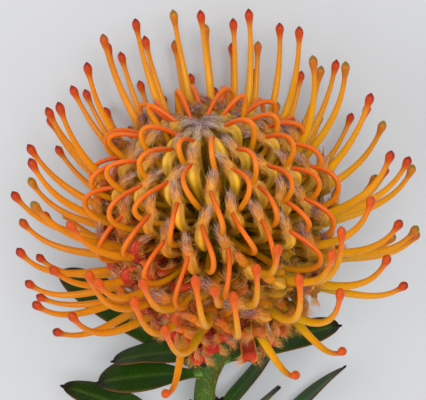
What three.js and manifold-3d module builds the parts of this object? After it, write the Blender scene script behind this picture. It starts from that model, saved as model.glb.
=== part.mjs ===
// A cut pincushion protea flower (Leucospermum) lying on its back, with its stem and leaves.
//
// The flower is laid out upright in its own frame: the axis is +Z towards the tip of the head, the
// origin is the middle of the head, and -Y is the side that faces up once the flower lies down.
// A direction from the middle is a polar angle, counted from the axis, and an azimuth about it.
// Lengths are millimetres and angles are degrees.

import * as THREE from 'three';
import { mergeVertices } from 'three/addons/utils/BufferGeometryUtils.js';
import Module from 'manifold-3d';

const wasm = await Module();
wasm.setup();

// ---- driving dimensions ------------------------------------------------------------------------

const AXIS_RISE = 20; // how far the axis points up from the surface, once the flower lies down
const CENTRE_HEIGHT = 43; // middle of the head over the surface

// Florets sit on the receptacle in one golden-angle spiral, so they also read as 13 spiral rows.
const DIVERGENCE = 137.50776;
const SPIRAL_START = 200;
const TIP_FLORETS = 8; // the youngest ones, at the tip of the head
const TIP_DIVERGENCE = 135; // three eighths of a turn, so that the eight stand evenly round the tip
const ROWS = 13;
const ROW_PARTS = { inner: 3, middle: 3, outer: 4 }; // florets in each length of a row
const ROW_FLORETS = ROW_PARTS.inner + ROW_PARTS.middle + ROW_PARTS.outer;
const FLORETS = TIP_FLORETS + ROWS * ROW_FLORETS;
const LAST_POLAR = 122; // polar angle of the oldest floret, just above the bracts
const FIRST_OPEN = 58; // polar angle at which an open style counts as new
const GAP = 0.3;

// A floret is open past this polar angle, which is larger on the upper side and varies a little.
const OPENING = { polar: 63, upperSide: 19, variation: 3 };

// Where the tips of the open styles are: the polar angle of the youngest and of the oldest, which
// lean less on the underside, and how far the tips are from the middle of the head.
const TIPS = { youngPolar: 36, oldPolar: 110, underneath: 24, reach: 55.5 };

// The styles on the upper side hook up: how far that moves the polar angle and reach of the tip,
// and the direction and length of the curve's two ends.
const HOOK = { polar: 14, reach: 9, endPolar: 30, ends: 5, footPolar: 6 };

// The oldest ones on the upper side droop instead: how many are the oldest, how far the polar angle
// and reach of the tip move, how far they pull towards the top, and how far they sway aside.
const DROOP = { oldest: 10, polar: 10, reach: 4, pull: 0.3, sway: 12 };

// The receptacle is an upright ellipsoid, and the florets stand a little off it.
const RECEPTACLE = { radius: 10.0, halfHeight: 18.3, middle: -8 };
const BASE = { radius: 10.7, halfHeight: 19, middle: -8 };

const LIMB_REACH = 31; // from the middle of the head to the hairy heads of the unopened florets
const TUBE_SIDES = 4;

const STEM_RADIUS = 3.2;
const STEM_TOP = -27;
const STEM_END = -117;

// Each leaf: where it leaves the stem, its azimuth, its angle to the stem's upward direction, how
// far it bends over its length, how far it is twisted, and its length and width.
const LEAVES = {
  leaf_right_upper: { at: -49, azimuth: 4, spread: 72, bend: 8, twist: -8, length: 35, width: 14 },
  leaf_left_edge: { at: -44, azimuth: 175, spread: 80, bend: 8, twist: 20, length: 28, width: 14 },
  leaf_back_left: { at: -53, azimuth: 214, spread: 54, bend: 14, twist: 4, length: 52, width: 15 },
  leaf_left_broad: { at: -52, azimuth: 170, spread: 74, bend: 8, twist: 0, length: 30, width: 15 },
  leaf_back_right: { at: -74, azimuth: 330, spread: 58, bend: 8, twist: -40, length: 28, width: 10 },
  leaf_left_under: { at: -70, azimuth: 140, spread: 66, bend: 20, twist: -6, length: 40, width: 14 },
  leaf_front: { at: -84, azimuth: 24, spread: 34, bend: 6, twist: -12, length: 38, width: 10 },
  leaf_left_low: { at: -80, azimuth: 182, spread: 44, bend: 14, twist: -8, length: 46, width: 12 },
  leaf_right_low: { at: -101, azimuth: 350, spread: 50, bend: 6, twist: -34, length: 57, width: 11 },
  leaf_right_small: { at: -104, azimuth: 24, spread: 36, bend: 4, twist: -30, length: 54, width: 9 },
};

const COLOURS = {
  unopened: 0xe0a030,
  open: 0xf08a1e,
  receptacle: 0x6f7a2a,
  bracts: 0x7a8a45,
  stem: 0x6d8a35,
  leaf: 0x2f6a22,
};

// ---- small maths -------------------------------------------------------------------------------

const radians = THREE.MathUtils.degToRad;
const lerp = THREE.MathUtils.lerp;
const smooth = (x, from, to) => THREE.MathUtils.smoothstep(x, from, to);

// A repeatable value from -1 to 1 that differs from floret to floret and from use to use.
function vary(index, use) {
  const value = Math.sin(index * 12.9898 + use * 78.233) * 43758.5453;
  return 2 * (value - Math.floor(value)) - 1;
}

// The value at t of a line through [t, value] pairs.
function along(pairs, t) {
  const next = pairs.findIndex(([at]) => at >= t);
  if (next <= 0) return pairs[next === 0 ? 0 : pairs.length - 1][1];
  const [[t0, v0], [t1, v1]] = [pairs[next - 1], pairs[next]];
  return lerp(v0, v1, (t - t0) / (t1 - t0));
}

function direction(polar, azimuth, reach = 1) {
  const [p, a] = [radians(polar), radians(azimuth)];
  return new THREE.Vector3(Math.sin(p) * Math.cos(a), Math.sin(p) * Math.sin(a), Math.cos(p))
    .multiplyScalar(reach);
}

const between = (a, b, t) => a.clone().lerp(b, t);

// Points of a cubic curve.
function bezier(a, b, c, d, count) {
  return new THREE.CubicBezierCurve3(a, b, c, d).getPoints(count - 1);
}

// ---- solids ------------------------------------------------------------------------------------

// A closed geometry through rings of points, all rings having the same number of points.
function loft(rings) {
  const sides = rings[0].length;
  const middles = [rings[0], rings.at(-1)].map((ring) =>
    ring.reduce((sum, point) => sum.add(point), new THREE.Vector3()).divideScalar(sides));
  const points = [...rings.flat(), ...middles];
  const index = [];
  for (let r = 0; r < rings.length - 1; r++) {
    for (let s = 0; s < sides; s++) {
      const [a, b] = [r * sides + s, r * sides + ((s + 1) % sides)];
      index.push(a, b, b + sides, a, b + sides, a + sides);
    }
  }
  const last = (rings.length - 1) * sides;
  for (let s = 0; s < sides; s++) {
    const next = (s + 1) % sides;
    index.push(rings.length * sides, next, s);
    index.push(rings.length * sides + 1, last + s, last + next);
  }
  return new THREE.BufferGeometry().setFromPoints(points).setIndex(index);
}

// A round tube along points, with a radius at each of them.
function tube(points, radii, sides = TUBE_SIDES) {
  let side = new THREE.Vector3();
  const rings = points.map((point, i) => {
    const ahead = points[Math.min(i + 1, points.length - 1)].clone();
    const tangent = ahead.sub(points[Math.max(i - 1, 0)]).normalize();
    if (i === 0) {
      const upright = Math.abs(tangent.z) >= 0.9;
      side = new THREE.Vector3(upright ? 1 : 0, 0, upright ? 0 : 1).cross(tangent);
    }
    side.addScaledVector(tangent, -side.dot(tangent)).normalize();
    const other = tangent.clone().cross(side);
    return Array.from({ length: sides }, (_, s) => {
      const turn = (2 * Math.PI * s) / sides;
      return point.clone()
        .addScaledVector(side, radii[i] * Math.cos(turn))
        .addScaledVector(other, radii[i] * Math.sin(turn));
    });
  });
  return loft(rings);
}

function solid(geometry) {
  const bare = geometry.index ? geometry.toNonIndexed() : geometry.clone();
  const merged = mergeVertices(
    new THREE.BufferGeometry().setAttribute('position', bare.getAttribute('position')), 1e-5);
  const mesh = new wasm.Mesh({
    numProp: 3,
    vertProperties: merged.attributes.position.array,
    triVerts: new Uint32Array(merged.index.array),
  });
  return new wasm.Manifold(mesh);
}

function join(geometries) {
  const joined = wasm.Manifold.union(geometries.map(solid)).simplify(0.1).getMesh();
  return new THREE.BufferGeometry()
    .setAttribute('position', new THREE.BufferAttribute(joined.vertProperties, 3))
    .setIndex(new THREE.BufferAttribute(joined.triVerts, 1));
}

function node(name, geometry, colour, roughness = 0.6) {
  geometry.computeVertexNormals();
  const mesh = new THREE.Mesh(geometry, new THREE.MeshStandardMaterial({ color: colour, roughness }));
  mesh.name = name;
  return mesh;
}

// ---- where each floret is ----------------------------------------------------------------------

function floretPolar(n) {
  return THREE.MathUtils.radToDeg(
    Math.acos(1 - (1 - Math.cos(radians(LAST_POLAR))) * ((n + 0.5) / FLORETS)));
}

function floretAzimuth(n) {
  return -(SPIRAL_START + n * (n < TIP_FLORETS ? TIP_DIVERGENCE : DIVERGENCE));
}

// How much an azimuth faces up: 1 on the upper side of the lying flower, -1 on the side it lies on.
const facing = (azimuth) => -Math.sin(radians(azimuth));

function floretBase(n) {
  const base = direction(floretPolar(n), floretAzimuth(n));
  return new THREE.Vector3(
    BASE.radius * base.x, BASE.radius * base.y, BASE.middle + BASE.halfHeight * base.z);
}

// The older florets are open, and the upper side opens later.
function isOpen(n) {
  const threshold = OPENING.polar + OPENING.upperSide * facing(floretAzimuth(n));
  return floretPolar(n) > threshold + OPENING.variation * vary(n, 7);
}

// ---- florets -----------------------------------------------------------------------------------

// Lifts a point of the flower's frame so that it stays a given height over the surface.
function clearOfSurface(point, height) {
  const up = new THREE.Vector3(0, -Math.cos(radians(AXIS_RISE)), Math.sin(radians(AXIS_RISE)));
  const lift = height - (CENTRE_HEIGHT + point.dot(up));
  return lift > 0 ? point.clone().addScaledVector(up, lift) : point;
}

// An open floret: the split perianth is a sheath on the lower third, and the long style leaves it,
// bends towards the tip of the head and ends in the pollen presenter.
const STYLE_RADII = [ // part of the way along, radius
  [0, 0.95], [0.2, 1.35], [0.36, 1.35], [0.42, 1.2], [0.75, 0.8], [0.92, 0.6], [0.945, 1.0],
  [0.975, 1.05], [1, 0.3]];
const STYLE_STEPS = [0, 0.18, 0.36, 0.46, 0.58, 0.7, 0.81, 0.92, 0.945, 0.975, 1];

function openStylePath(n) {
  const [polar, azimuth] = [floretPolar(n), floretAzimuth(n)];
  const age = THREE.MathUtils.clamp((polar - FIRST_OPEN) / (LAST_POLAR - FIRST_OPEN), 0, 1);
  const up = facing(azimuth);
  const oldest = n >= FLORETS - DROOP.oldest;
  const hook = oldest ? 0 : smooth(up, 0.35, 0.9) * smooth(polar, 84, 100);
  const droop = oldest ? smooth(up, 0.2, 0.6) : 0;
  const toTop = THREE.MathUtils.euclideanModulo(90 - azimuth, 360) - 180;

  const oldPolar = TIPS.oldPolar - TIPS.underneath * smooth(-up, 0.3, 1);
  const tipPolar = lerp(TIPS.youngPolar, oldPolar, age ** 0.9)
    + 3.5 * vary(n, 1) + DROOP.polar * droop - HOOK.polar * hook;
  const tipAzimuth = azimuth + 3 * vary(n, 4)
    + (DROOP.pull * toTop + DROOP.sway * vary(n, 62)) * droop;
  const tipReach = TIPS.reach + 1.6 * vary(n, 2) + 6 * (1 - age) * smooth(-up, 0.2, 1)
    - HOOK.reach * hook - DROOP.reach * droop;
  const tip = direction(tipPolar, tipAzimuth, tipReach);

  const endPolar = lerp(4, 38, age) - HOOK.endPolar * hook + 7 * vary(n, 3);
  const end = direction(endPolar, tipAzimuth, lerp(21, 15, age) + HOOK.ends * hook);
  const footPolar = polar + 7 * age + HOOK.footPolar * hook;
  const foot = direction(footPolar, azimuth, 30 + HOOK.ends * hook);
  return new THREE.CubicBezierCurve3(floretBase(n), foot, tip.clone().sub(end), tip);
}

function openFloret(n) {
  const path = openStylePath(n);
  const radii = STYLE_STEPS.map((t) => along(STYLE_RADII, t));
  const points = STYLE_STEPS.map((t) => clearOfSurface(path.getPoint(t), 1.05));
  return [tube(points, radii)];
}

// An unopened floret: the perianth is a crook whose hairy head still holds the tip of the style,
// so the style bows out of it as a hoop.
const CROOK_RADII = [0.85, 0.95, 1.05, 1.15, 1.3, 0.4];

function unopenedFloret(n) {
  const [polar, azimuth] = [floretPolar(n), floretAzimuth(n)];
  const young = n < TIP_FLORETS;
  const lean = young ? 2 + 3.8 * n : 1.5 + 2.5 * vary(n, 5);
  const headTip = young ? 2.8 : polar - 13.5;
  const headBase = Math.max(11.5, headTip + 8.5);
  const knee = Math.max(15, polar + 2.5);
  const reach = LIMB_REACH + 0.5 * vary(n, 6);

  const base = floretBase(n);
  const limb = direction(headBase, azimuth, reach);
  const tip = direction(headTip, azimuth, reach + 1);
  const crook = bezier(
    base, between(base, direction(knee, azimuth, 24), 0.6), direction(knee + 3, azimuth, reach + 3.5),
    limb, 4);
  const swell = between(limb, tip, 0.5).add(direction(polar, azimuth, 0.4));
  const sheath = tube([...crook, swell, tip], CROOK_RADII);

  const foot = between(base, direction(polar + 3, azimuth, 26), 0.16);
  const outward = foot.clone().add(direction(polar + 15, azimuth - lean * 0.6, 29));
  const over = limb.clone().add(direction(headBase + 38, azimuth - lean, 17.5));
  const hoop = bezier(foot, outward, over, limb, 8);
  return [sheath, tube(hoop, hoop.map(() => 0.65))];
}

const floret = (n) => (isOpen(n) ? openFloret(n) : unopenedFloret(n));

// Neighbours in a row share a thin pad at their feet.
function footPad(n, next) {
  const [start, end] = [n, next].map((m) =>
    between(floretBase(m), direction(floretPolar(m), floretAzimuth(m), 26), 0.05));
  return tube([start, between(start, end, 0.5), end], [0.5, 0.5, 0.5]);
}

function floretNodes() {
  const nodes = [];
  for (let n = 0; n < TIP_FLORETS; n++) {
    nodes.push(node(`tip_floret_${n + 1}`, join(unopenedFloret(n)), COLOURS.unopened, 0.7));
  }
  for (let row = 0; row < ROWS; row++) {
    let n = TIP_FLORETS + row;
    for (const [part, count] of Object.entries(ROW_PARTS)) {
      const pieces = [];
      for (let i = 0; i < count; i++, n += ROWS) {
        pieces.push(...floret(n));
        if (i > 0) pieces.push(footPad(n - ROWS, n));
      }
      const name = `row_${String(row + 1).padStart(2, '0')}_${part}_florets`;
      nodes.push(node(name, join(pieces), part === 'outer' ? COLOURS.open : COLOURS.unopened));
    }
  }
  return nodes;
}

// ---- receptacle, bracts, stem and leaves -------------------------------------------------------

function receptacle() {
  const shape = new THREE.SphereGeometry(1, 12, 8);
  shape.rotateX(Math.PI / 2);
  shape.scale(RECEPTACLE.radius, RECEPTACLE.radius, RECEPTACLE.halfHeight);
  shape.translate(0, 0, RECEPTACLE.middle);
  return node('receptacle', join([shape]), COLOURS.receptacle, 0.9);
}

// The bracts are a cup under the receptacle, with three rows of pointed scales on it.
const BRACTS = { rows: 3, perRow: 7, width: 5.6, thickness: 1.3, bulge: 0.9 };
const BRACT_WIDTHS = [[0, 0.5], [0.35, 1], [0.7, 0.75], [1, 0.12]]; // part of the length, of the width
const CUP = [ // radius and height, inside and then outside
  [4.7, -33], [4.7, -27.5], [7.4, -22.9], [8.5, -20.9],
  [9.4, -20.7], [8.4, -24.6], [6.6, -30], [5.6, -33]];

function bract(row, index) {
  const azimuth = (360 * (index + (row % 2) / 2)) / BRACTS.perRow;
  const foot = new THREE.Vector3(5.3 + row, 0, -33 + 2.9 * row);
  const tip = new THREE.Vector3(8.8 + 1.3 * row, 0, -26 + 2.6 * row);
  const rings = BRACT_WIDTHS.map(([t, part]) => {
    const bulge = new THREE.Vector3(BRACTS.bulge * Math.sin(Math.PI * t), 0, 0);
    const middle = between(foot, tip, t).add(bulge);
    const [w, h] = [(BRACTS.width / 2) * part, (BRACTS.thickness / 2) * part];
    return [[h, 0], [0, w], [-h, 0], [0, -w]].map(([out, side]) =>
      middle.clone().add(new THREE.Vector3(out * 0.9, side, -out * 0.4)));
  });
  const shape = loft(rings);
  shape.rotateZ(radians(azimuth));
  return shape;
}

function bracts() {
  const outline = [...CUP, CUP[0]].map(([r, z]) => new THREE.Vector2(r, z));
  const cup = new THREE.LatheGeometry(outline.reverse(), 14);
  cup.rotateX(Math.PI / 2);
  const scales = [];
  for (let row = 0; row < BRACTS.rows; row++) {
    for (let i = 0; i < BRACTS.perRow; i++) scales.push(bract(row, i));
  }
  return node('involucral_bracts', join([cup, ...scales]), COLOURS.bracts, 0.9);
}

// The stem bends a little to one side below the head.
const stemPath = new THREE.CatmullRomCurve3([
  new THREE.Vector3(0, 0, STEM_TOP),
  new THREE.Vector3(-3.2, 0, -42),
  new THREE.Vector3(-10.4, 0, -58),
  new THREE.Vector3(-13.5, 0, -84),
  new THREE.Vector3(-18, 0, STEM_END)]);

function stemAt(height) {
  return stemPath.getPoint(along(
    Array.from({ length: 41 }, (_, i) => [-stemPath.getPoint(i / 40).z, i / 40]), -height));
}

function stem() {
  const points = stemPath.getPoints(14);
  const radii = points.map((_, i) => STEM_RADIUS * (1 + 0.03 * Math.cos(i * 2.1)) * lerp(1.02, 1, i / 14));
  const buds = Object.values(LEAVES).map(({ at, azimuth }) => {
    const bud = new THREE.SphereGeometry(1, 6, 4).scale(1.7, 1.5, 2.3);
    const middle = stemAt(at + 4.6).add(direction(90, azimuthOf(azimuth), STEM_RADIUS + 0.4));
    return bud.translate(middle.x, middle.y, middle.z);
  });
  return node('stem', join([tube(points, radii, 9), ...buds]), COLOURS.stem, 0.7);
}

// Leaf azimuths are counted from the right, over the upper side, to the left.
const azimuthOf = (leafAzimuth) => -leafAzimuth;

const LEAF_OUTLINE = [ // part of the length, part of the half width
  [0, 0.2], [0.06, 0.22], [0.2, 0.52], [0.4, 0.88], [0.58, 1],
  [0.75, 0.93], [0.88, 0.66], [0.96, 0.34], [1, 0.1]];
const LEAF_THICKNESS = 0.9;
const LEAF_EDGE = 0.3; // thickness at the margins
const LEAF_FOLD = 0.14; // how far the margins rise, for each unit of half width
const LEAF_SEAT = STEM_RADIUS + GAP + 0.65; // from the stem's middle line to the leaf's foot

function leaf(name, { at, azimuth, spread, bend, twist, length, width }) {
  const out = direction(90, azimuthOf(azimuth));
  const side = new THREE.Vector3(0, 0, 1).cross(out);
  const point = stemAt(at).addScaledVector(out, LEAF_SEAT);
  const rings = LEAF_OUTLINE.map(([t, part], i) => {
    const angle = radians(spread + bend * t);
    const ahead = out.clone().multiplyScalar(Math.sin(angle)).setZ(Math.cos(angle));
    if (i > 0) point.addScaledVector(ahead, length * (t - LEAF_OUTLINE[i - 1][0]));
    const across = side.clone().applyAxisAngle(ahead, radians(twist * t));
    const up = ahead.clone().cross(across);
    const [w, h] = [(width / 2) * part, LEAF_THICKNESS / 2];
    // The two halves fold up a little about the midrib.
    const [top, bottom] = [LEAF_FOLD * w + LEAF_EDGE / 2, LEAF_FOLD * w - LEAF_EDGE / 2];
    return [[1, top], [0, h], [-1, top], [-1, bottom], [0, -h], [1, bottom]].map(([s, lift]) =>
      point.clone().addScaledVector(across, s * w).addScaledVector(up, lift));
  });
  return node(name, loft(rings), COLOURS.leaf, 0.5);
}

// ---- the whole flower, laid down ---------------------------------------------------------------

const flower = new THREE.Group();
flower.add(receptacle(), bracts(), stem(), ...floretNodes());
flower.add(...Object.entries(LEAVES).map(([name, size]) => leaf(name, size)));
flower.rotation.x = radians(AXIS_RISE - 90);

// The part's origin is the middle of the bottom of its box.
const group = new THREE.Group();
group.add(flower);
group.updateMatrixWorld(true);
const box = new THREE.Box3().setFromObject(group, true);
flower.position.set(-(box.min.x + box.max.x) / 2, -(box.min.y + box.max.y) / 2, -box.min.z);

export default group;
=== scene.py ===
"""A cut pincushion protea lying on a pale floor, under soft studio light.

The flower is worked out upright in its own frame, in millimetres and degrees: the axis is +Z
towards the tip of the head, the origin is the middle of the head, and -Y is the side that faces up
once the flower lies down. A direction from the middle is a polar angle, counted from the axis, and
an azimuth about it. to_world() lays the flower down and gives metres.
"""

import bpy
import numpy as np
from mathutils import Matrix, Vector


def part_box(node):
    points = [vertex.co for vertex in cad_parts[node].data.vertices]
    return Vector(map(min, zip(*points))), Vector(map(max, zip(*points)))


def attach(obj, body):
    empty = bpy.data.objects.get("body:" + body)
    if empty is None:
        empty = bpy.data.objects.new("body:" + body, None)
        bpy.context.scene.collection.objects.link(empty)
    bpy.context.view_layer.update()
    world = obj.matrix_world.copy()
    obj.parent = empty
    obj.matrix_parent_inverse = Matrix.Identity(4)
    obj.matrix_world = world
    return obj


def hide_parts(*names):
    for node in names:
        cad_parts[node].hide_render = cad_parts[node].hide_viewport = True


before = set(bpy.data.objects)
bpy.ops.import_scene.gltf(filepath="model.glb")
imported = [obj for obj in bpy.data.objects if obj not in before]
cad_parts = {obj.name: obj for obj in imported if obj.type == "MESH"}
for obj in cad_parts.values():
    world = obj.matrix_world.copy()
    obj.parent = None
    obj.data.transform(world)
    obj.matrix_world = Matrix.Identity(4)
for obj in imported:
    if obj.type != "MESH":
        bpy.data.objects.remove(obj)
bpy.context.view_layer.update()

# ---- measures of the flower ----

AXIS_RISE = 20  # how far the axis points up from the floor
CENTRE_HEIGHT = 43  # of the middle of the head, above the floor

DIVERGENCE = 137.50776  # how far round the axis each floret is from the one before
SPIRAL_START = 200  # azimuth of the floret at the tip, turned the other way
TIP_FLORETS = 8
TIP_DIVERGENCE = 135
ROWS = 13
ROW_PARTS = {"inner": 3, "middle": 3, "outer": 4}
FLORETS = TIP_FLORETS + ROWS * sum(ROW_PARTS.values())
FLORET_SEED, RECEPTACLE_SEED, BRACTS_SEED, STEM_SEED = 1000, 3, 5, 7

LAST_POLAR = 122  # of the oldest floret
AGED_FROM = 58  # polar angle that the age of an open floret is counted from
OPEN_FROM = 63  # polar angle where the florets have opened at the sides of the flower
OPEN_LATER = 19  # how much further down they open on the side that faces up
FLAPS_FROM = 100  # polar angle of the lowest florets, whose outer lobes hang like petals
DROOPING = 10  # the oldest florets, whose styles don't hook up

RECEPTACLE_MIDDLE = -8
RECEPTACLE_RADIUS, RECEPTACLE_HALF_HEIGHT = 9.9, 18.2
BASE_RADIUS, BASE_HALF_HEIGHT = 10.7, 19
LIMB_REACH, STYLE_REACH = 31, 55.5  # from the middle of the head
FLATNESS = 0.85  # height of a perianth tube, tuft or limb as part of its width
RIBS = 4  # round a perianth tube
TUFT_HAIRS = 380
HAIR_ROOTS = 0.96  # how far out in a part its hairs start, just under its skin
LOBE_THICKNESS = 0.3
BRACT_ROWS, BRACTS_IN_ROW, BRACT_HALF_THICKNESS = 3, 7, 0.28
SPLIT_AT, SHEATH_END = 0.18, 0.3  # parts of an open style's path where its perianth splits and ends
LEFTWARD = np.array([-1.0, 0, 0])  # the knuckles bend over this way and towards the tip

# Least height above the floor of the middle line of each part of a floret.
HOOP_CLEARANCE, STYLE_CLEARANCE, LOBE_CLEARANCE, KNUCKLE_CLEARANCE = 1.0, 1.25, 1.6, 1.8
FLOOR_GAP = 0.00005  # metres between the floor and the lowest that a piece may reach

STEM_RADIUS = 3.2
STEM_POINTS = [(0, 0, -27), (-3.2, 0, -42), (-10.4, 0, -58), (-13.5, 0, -84), (-18, 0, -117)]
LEAF_SEAT = STEM_RADIUS + 0.95
LEAF_WIDEST = 0.58  # part of the leaf's length
BUD_RISE = 4.6  # of the middle of a bud above its leaf

# Each leaf: where it leaves the stem, its azimuth, its angle to the stem's upward direction, how
# far it bends over its length, how far it is twisted, and its length and width.
LEAVES = {
    "leaf_right_upper": (-49, 4, 72, 8, -8, 35, 14),
    "leaf_left_edge": (-44, 175, 80, 8, 20, 28, 14),
    "leaf_back_left": (-53, 214, 54, 14, 4, 52, 15),
    "leaf_left_broad": (-52, 170, 74, 8, 0, 30, 15),
    "leaf_back_right": (-74, 330, 58, 8, -40, 28, 10),
    "leaf_left_under": (-70, 140, 66, 20, -6, 40, 14),
    "leaf_front": (-84, 24, 34, 6, -12, 38, 10),
    "leaf_left_low": (-80, 182, 44, 14, -8, 46, 12),
    "leaf_right_low": (-101, 350, 50, 6, -34, 57, 11),
    "leaf_right_small": (-104, 24, 36, 4, -30, 54, 9),
}

# ---- small maths ----


def unit(v):
    return v / np.maximum(np.linalg.norm(v, axis=-1, keepdims=True), 1e-9)


def square_to(axis, v):
    """The unit vector square to a unit axis that is nearest to v."""
    return unit(v - axis * np.dot(v, axis))


def lerp(a, b, t):
    return a + (b - a) * t


def smooth(x, start, end):
    t = np.clip((x - start) / (end - start), 0, 1)
    return t * t * (3 - 2 * t)


def parts(count):
    """Even steps from 0 to 1."""
    return np.linspace(0, 1, count)


def around(count):
    """Angles of the corners of a section, in radians."""
    return np.arange(count) * 2 * np.pi / count


def stops(pairs, t):
    """The value at t of a line through (t, value) pairs."""
    at, values = zip(*pairs)
    return np.interp(t, at, values)


def direction(polar, azimuth, reach=1.0):
    p, a = np.radians(polar), np.radians(azimuth)
    return reach * np.array([np.sin(p) * np.cos(a), np.sin(p) * np.sin(a), np.cos(p)])


def bezier(a, b, c, d, t):
    t = np.asarray(t)[:, None]
    return a * (1 - t) ** 3 + 3 * b * t * (1 - t) ** 2 + 3 * c * t**2 * (1 - t) + d * t**3


def turned(v, axis, angle):
    """Vector v turned about a unit axis."""
    c, s = np.cos(np.radians(angle)), np.sin(np.radians(angle))
    return v * c + np.cross(axis, v) * s + axis * np.dot(v, axis) * (1 - c)


def to_world(points):
    turn = np.radians(AXIS_RISE - 90)
    x, y, z = np.asarray(points, float).T
    laid = [x, np.cos(turn) * y - np.sin(turn) * z, np.sin(turn) * y + np.cos(turn) * z]
    return np.stack(laid, -1) / 1000


receptacle_box = np.array([list(corner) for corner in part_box("receptacle")])
HEAD = receptacle_box.mean(0) - to_world([[0, 0, RECEPTACLE_MIDDLE]])[0]  # middle of the head


def linear(hex_colour):
    """The linear colour of an sRGB hex code."""
    s = np.array([int(hex_colour[i : i + 2], 16) for i in (1, 3, 5)]) / 255
    return np.where(s <= 0.04045, s / 12.92, ((s + 0.055) / 1.055) ** 2.4)


def shades(pairs, t):
    """Linear colours at t through (t, hex code) pairs."""
    at, codes = zip(*pairs)
    colours = np.array([linear(code) for code in codes])
    return np.stack([np.interp(t, at, colours[:, i]) for i in range(3)], -1)


def mixed(first, second, share, t):
    """Linear colours at t between two lists of (t, hex code) pairs."""
    return lerp(shades(first, t), shades(second, t), share)


# ---- meshes ----


def add_object(name, data):
    item = bpy.data.objects.new(name, data)
    bpy.context.scene.collection.objects.link(item)
    return item


class Track:
    """A path with a direction across it and one out of its bend at every point."""

    def __init__(self, points, across):
        self.points = np.asarray(points, float)
        self.ahead = unit(np.gradient(self.points, axis=0))
        across = np.broadcast_to(across, self.points.shape)
        flat = across - self.ahead * (across * self.ahead).sum(-1, keepdims=True)
        self.across = unit(flat)
        self.out = np.cross(self.across, self.ahead)

    def rings(self, x, y):
        """Points beside the path: x across it and y out of it, both by ring and corner."""
        return (
            self.points[:, None]
            + self.across[:, None] * x[..., None]
            + self.out[:, None] * y[..., None]
        )

    def ovals(self, turn, width, height, relief=1.0):
        """Oval rings round the path, by their corners' angles, half widths and half heights."""
        x, y = np.outer(width, np.cos(turn)), np.outer(height, np.sin(turn))
        return self.rings(x * relief, y * relief)

    def spots(self, t, *sizes):
        """The path's point, ahead, across and out, and any sizes given, at parts t of it."""
        at = t * (len(self.points) - 1)
        low = np.minimum(at.astype(int), len(self.points) - 2)
        part = (at - low)[:, None]
        sizes = [np.broadcast_to(size, len(self.points))[:, None] for size in sizes]
        sets = (self.points, self.ahead, self.across, self.out, *sizes)
        return [lerp(values[low], values[low + 1], part) for values in sets]


class Shape:
    """What one piece is made of, in the flower's frame."""

    def __init__(self):
        self.points, self.tints, self.faces, self.materials = [], [], [], []
        self.count = 0

    def add(self, points, tints, faces, materials):
        self.points.append(np.asarray(points, float).reshape(-1, 3))
        self.tints.append(np.broadcast_to(tints, self.points[-1].shape))
        for face_set in faces:
            self.faces.append(face_set + self.count)
            self.materials.append(np.broadcast_to(materials, len(face_set)))
        self.count += len(self.points[-1])

    def skin(self, rings, tints, material):
        """A closed skin through rings of corners, with a point in the middle of each end."""
        corners = np.arange(rings[..., 0].size).reshape(rings.shape[:2])
        after = np.roll(corners, -1, 1)
        walls = np.stack([corners[:-1], after[:-1], after[1:], corners[1:]], -1).reshape(-1, 4)
        first, last = np.full((2, corners.shape[1]), [[corners.size], [corners.size + 1]])
        caps = [np.stack([first, after[0], corners[0]], -1)]
        caps += [np.stack([last, corners[-1], after[-1]], -1)]
        points, tints = (
            np.concatenate([values.reshape(-1, 3), [values[0].mean(0), values[-1].mean(0)]])
            for values in (rings, np.broadcast_to(tints, rings.shape))
        )
        self.add(points, tints, [walls, *caps], material)

    def hairs(self, roots, ways, lengths, bends, faces_to, materials, radius):
        """Fine flat hairs, each bent once and drawn out to a point."""
        ways, lengths = unit(ways), lengths[:, None]
        wide = unit(np.cross(ways, faces_to)) * radius
        middles = roots + ways * lengths * 0.5 + bends * lengths * 0.15
        tips = roots + ways * lengths * 0.95 + bends * lengths * 0.55
        corners = [roots - wide, roots + wide, middles + wide * 0.9, middles - wide * 0.9, tips]
        start = (np.arange(len(roots)) * len(corners))[:, None]
        faces = [start + [0, 1, 2, 3], start + [3, 2, 4]]
        self.add(np.stack(corners, 1), 1.0, faces, materials)

    def build(self, name, node):
        """Makes the mesh, and lets it stand for a node of the frame."""
        points = to_world(np.concatenate(self.points)) + HEAD
        points[:, 2] = np.maximum(points[:, 2], FLOOR_GAP)
        mesh = bpy.data.meshes.new(name)
        mesh.vertices.add(len(points))
        mesh.vertices.foreach_set("co", points.ravel())
        loops = np.concatenate([face_set.ravel() for face_set in self.faces])
        mesh.loops.add(len(loops))
        mesh.loops.foreach_set("vertex_index", loops.astype(np.int32))
        sizes = np.concatenate([np.full(len(f), f.shape[1]) for f in self.faces])
        mesh.polygons.add(len(sizes))
        mesh.polygons.foreach_set("loop_start", np.cumsum(sizes) - sizes)
        used, numbers = np.unique(np.concatenate(self.materials), return_inverse=True)
        for number in used:
            mesh.materials.append(MATERIALS[number])
        mesh.polygons.foreach_set("material_index", numbers.astype(np.int32))
        mesh.polygons.foreach_set("use_smooth", np.ones(len(sizes), bool))
        tint = mesh.color_attributes.new("tint", "FLOAT_COLOR", "POINT")
        tints = np.concatenate(self.tints)
        tint.data.foreach_set("color", np.hstack([tints, np.ones((len(tints), 1))]).ravel())
        mesh.update(calc_edges=True)
        mesh.validate()
        piece = add_object(name, mesh)
        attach(piece, "root")
        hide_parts(node)


# ---- materials ----


def new_material(name):
    material = bpy.data.materials.new(name)
    material.use_nodes = True
    nodes = material.node_tree.nodes
    return material, nodes, nodes["Principled BSDF"]


def fill(node, sockets):
    """Sets sockets by name or number, each to a value or to follow another node's socket."""
    for name, value in sockets.items():
        if isinstance(value, bpy.types.NodeSocket):
            node.id_data.links.new(value, node.inputs[name])
        else:
            node.inputs[name].default_value = value


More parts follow.
